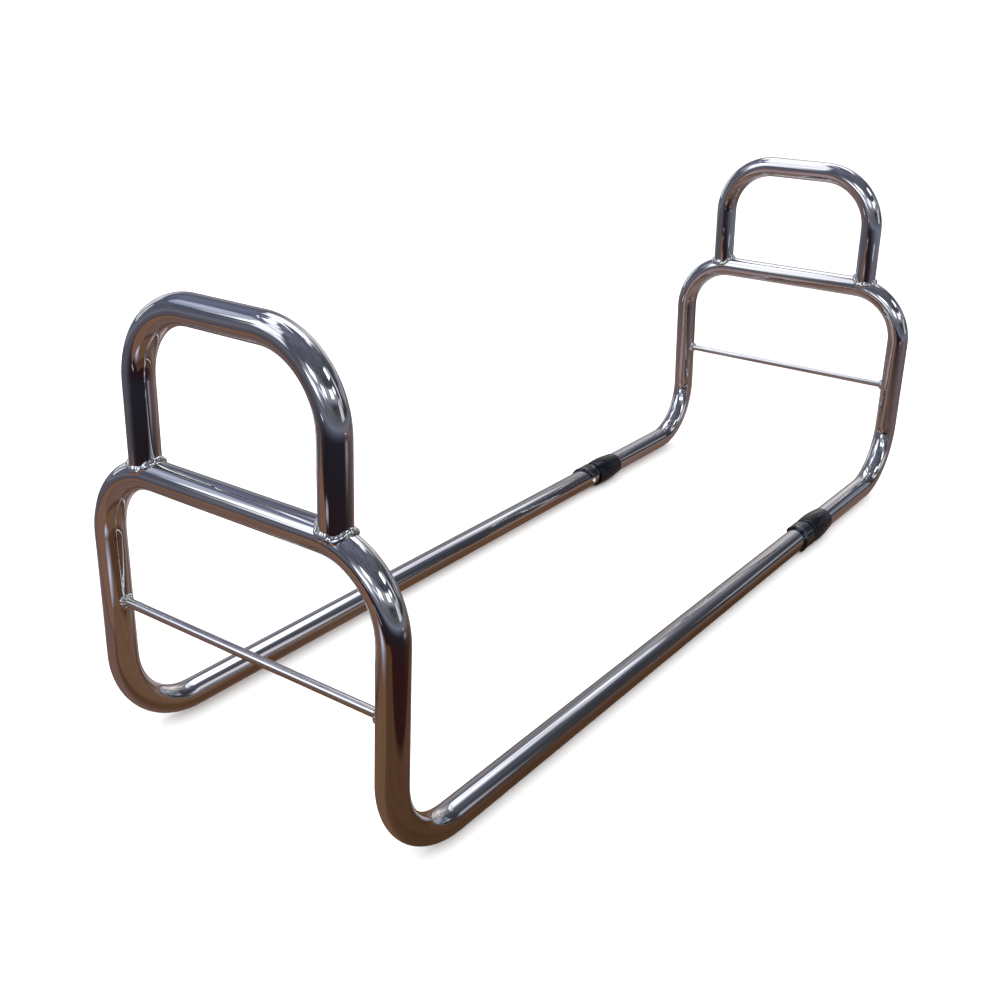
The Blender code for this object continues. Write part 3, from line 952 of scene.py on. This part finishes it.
def make_slide_tube(label, side, shift):
    """Inner tube with its row of adjusting holes."""
    node = label + "_slide_tube"
    low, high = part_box(node)
    y = side * RAIL_Y
    length = high.x - low.x
    xs = [low.x + SLIDE_CHAMFER]
    xs += [low.x + length * k / SLIDE_STEPS for k in range(1, SLIDE_STEPS + 1)]
    outer = [(low.x, SLIDE_R - SLIDE_CHAMFER)] + [(x, SLIDE_R) for x in xs]
    inner = [(x, SLIDE_BORE_R) for x in [low.x] + xs]
    bm = tube_wall(turned(outer, y), turned(inner, y))
    piece = finish_piece(bm, node, drawn_steel(node, shift))
    drill(piece, [PIN_X - k * HOLE_PITCH for k in range(HOLE_COUNT)], y)


def make_pin(label, side, shift):
    """Lock pin with a chamfered root and a domed tip."""
    node = label + "_lock_pin"
    low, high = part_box(node)
    root, tip = (high.y, low.y) if side > 0 else (low.y, high.y)
    profile = list(PIN_ROOT)
    for k in range(PIN_DOME_STEPS + 1):
        a = math.pi / 2 * k / PIN_DOME_STEPS
        share = 1.0 - PIN_DOME * (1 - math.sin(a))
        profile.append((share, max(PIN_DOME_TIP, math.cos(a))))
    rings = []
    for share, radius in profile:
        y = root + (tip - root) * share
        rings.append(pin_ring(PIN_X, y, PIN_R * radius, PIN_SIDES))
    bm = bmesh.new()
    verts = add_rings(bm, rings)
    skin(bm, verts)
    cap(bm, verts)
    finish_piece(bm, node, bright_zinc(node, shift))


def clip_section(share, near_x, far_x):
    """Wall outline at a share of the clip's sweep: place along the rail, radius."""
    tip = min(1.0, share / CLIP_TIP, (1.0 - share) / CLIP_TIP)
    full = math.sqrt(max(CLIP_TIP_LEAST, 1 - (1 - tip) ** 2))
    mid = 0.5 * (CLIP_BORE_R + CLIP_R)
    inner_r = mid - (mid - CLIP_BORE_R) * full
    outer_r = mid + (CLIP_R - mid) * full
    slant, power = CLIP_NEAR_SLANT
    near_x += CLIP_EDGE_GAP + slant * share ** power
    slant, power = CLIP_FAR_SLANT
    far_x -= CLIP_EDGE_GAP + slant * share ** power
    section = []
    for u, v in CLIP_SECTION:
        x = near_x + u if u <= CLIP_WALL / 2 else far_x - (CLIP_WALL - u)
        section.append((x, inner_r + (outer_r - inner_r) * v))
    return section


def make_clip(label, side, shift):
    """C-shaped spring clip with rolled edges and a slanted near edge."""
    node = label + "_lock_clip"
    low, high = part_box(node)
    rings = []
    for k in range(CLIP_STEPS + 1):
        share = k / CLIP_STEPS
        a = math.radians(CLIP_START + CLIP_SWEEP * share)
        ring = []
        for x, radius in clip_section(share, low.x, high.x):
            y = side * (RAIL_Y + radius * math.cos(a))
            ring.append(Vector((x, y, RAIL_Z + radius * math.sin(a))))
        rings.append(ring)
    bm = bmesh.new()
    verts = add_rings(bm, rings)
    skin(bm, verts)
    cap(bm, verts)
    material = black_plastic(node, shift, CLIP_LOOK)
    finish_piece(bm, node, material, SHARP_PLASTIC)


# -------------------------------------------------------------------- object


def build_object():
    """All pieces; each gets its own shift, so no two share the same marks."""
    near = make_hoop("near", NEAR_X, 0.3)
    for side in (1, -1):
        drill(near, [PIN_X], side * RAIL_Y)
    make_hoop("far", FAR_X, 1.9)
    for prefix, foot_x, shift in (("near", NEAR_X, 4.1), ("far", FAR_X, 6.3)):
        make_grip(prefix, foot_x, shift)
        make_rod(prefix, foot_x, shift + 0.7)
        make_welds(prefix, foot_x, shift * 0.61)
    for label, side in (("left", 1), ("right", -1)):
        shift = 10.0 + 2 * side
        make_ferrule(label, side, shift)
        make_slide_tube(label, side, shift + 0.4)
        make_clip(label, side, shift + 0.8)
        make_pin(label, side, shift + 1.2)


# -------------------------------------------------------------------- studio


def flat_plane(name, reach, z, material):
    """Square stage plane, reach out from the origin each way."""
    square = [(-reach, -reach), (reach, -reach), (reach, reach), (-reach, reach)]
    mesh = bpy.data.meshes.new(name)
    mesh.from_pydata([(x, y, z) for x, y in square], [], [(0, 1, 2, 3)])
    mesh.materials.append(material)
    obj = link(name, mesh)
    return obj


def build_floor():
    """Pale matt floor, which the plating doesn't see."""
    pale, g = new_material("studio_floor")
    g.surface(Base_Color=FLOOR_COLOR, Roughness=0.9, Specular_IOR_Level=0.0)
    floor = flat_plane("floor", FLOOR_REACH, FLOOR_Z, pale)
    floor.visible_glossy = False


def empty_graph(owner, coordinate):
    """A graph in an owner's node tree, cleared first, with its place split."""
    owner.use_nodes = True
    owner.node_tree.nodes.clear()
    g = Graph(owner.node_tree, coordinate)
    split = g.add("ShaderNodeSeparateXYZ", {0: g.place}).outputs
    return g, split["X"], split["Y"], split["Z"]


def build_reflected_ground():
    """Brown boards round the object, with painted shade in strips under the rails,
    and darkness beyond, for the plating only.
    """
    material = bpy.data.materials.new("reflected_ground")
    g, x, y, _ = empty_graph(material, "Object")
    east = g.math("SUBTRACT", x, GROUND_CENTRE_X)
    squares = [g.math("POWER", way, 2.0) for way in (east, y)]
    reach = g.math("SQRT", g.math("ADD", *squares))
    scale = GROUND_STOPS[-1][0]
    color = g.ramp(g.math("DIVIDE", reach, scale), GROUND_STOPS, scale)
    color = g.panels(color, x, y, GROUND_PANELS, False)
    glow = {"Color": color, "Strength": g.clutter(*GROUND_CLUTTER)}
    emit = g.add("ShaderNodeEmission", glow)
    g.add("ShaderNodeOutputMaterial", {0: emit.outputs[0]})
    plane = flat_plane("reflected_ground", GROUND_REACH, GROUND_Z, material)
    plane.visible_camera = False
    plane.visible_diffuse = False
    plane.visible_shadow = False
    plane.visible_transmission = False


def build_world():
    """Plain pale light for all but the plating, which sees a dim room."""
    world = bpy.data.worlds.new("studio")
    bpy.context.scene.world = world
    g, x, y, z = empty_graph(world, "Generated")
    azimuth = g.math("DEGREES", g.math("ARCTAN2", y, x))
    elevation = g.math("DEGREES", g.math("ARCSINE", z))
    share = g.math("DIVIDE", g.math("ADD", elevation, 90.0), 180.0)
    color = g.ramp(share, WORLD_STOPS)
    color = g.panels(color, azimuth, elevation, WORLD_PANELS, True)
    glow = {"Color": color, "Strength": g.clutter(*WORLD_CLUTTER)}
    room = g.add("ShaderNodeBackground", glow)
    white = {"Color": (1.0, 1.0, 1.0), "Strength": PLAIN_LIGHT}
    plain = g.add("ShaderNodeBackground", white)
    glossy = g.add("ShaderNodeLightPath").outputs["Is Glossy Ray"]
    either = {0: glossy, 1: plain.outputs[0], 2: room.outputs[0]}
    mix = g.add("ShaderNodeMixShader", either)
    g.add("ShaderNodeOutputWorld", {0: mix.outputs[0]})


def build_lights():
    for name, place, (width, height), power in LIGHTS:
        data = bpy.data.lights.new(name, "AREA")
        data.shape = "RECTANGLE"
        data.size = width
        data.size_y = height
        data.energy = power
        lamp = link(name, data)
        lamp.location = place
        aim = LIGHT_AIM - Vector(place)
        lamp.rotation_euler = aim.to_track_quat("-Z", "Y").to_euler()
        lamp.visible_glossy = False


def build_camera():
    data = bpy.data.cameras.new("camera")
    data.sensor_width = CAMERA_SENSOR
    data.lens = CAMERA_LENS
    data.shift_y = CAMERA_SHIFT_Y
    data.clip_start, data.clip_end = CAMERA_CLIP
    camera = link("camera", data)
    level = math.cos(CAMERA_PITCH)
    ahead = Vector((
        math.cos(CAMERA_YAW) * level,
        math.sin(CAMERA_YAW) * level,
        -math.sin(CAMERA_PITCH),
    ))
    right = ahead.cross(Vector((0, 0, 1))).normalized()
    down = ahead.cross(right)
    c, s = math.cos(CAMERA_ROLL), math.sin(CAMERA_ROLL)
    axes = (right * c + down * s, right * s - down * c, -ahead)
    turn = Matrix(axes).transposed().to_4x4()
    camera.matrix_world = Matrix.Translation(CAMERA_PLACE) @ turn
    bpy.context.scene.camera = camera


build_object()
build_floor()
build_reflected_ground()
build_world()
build_lights()
build_camera()
bpy.context.scene.view_settings.view_transform = "Standard"
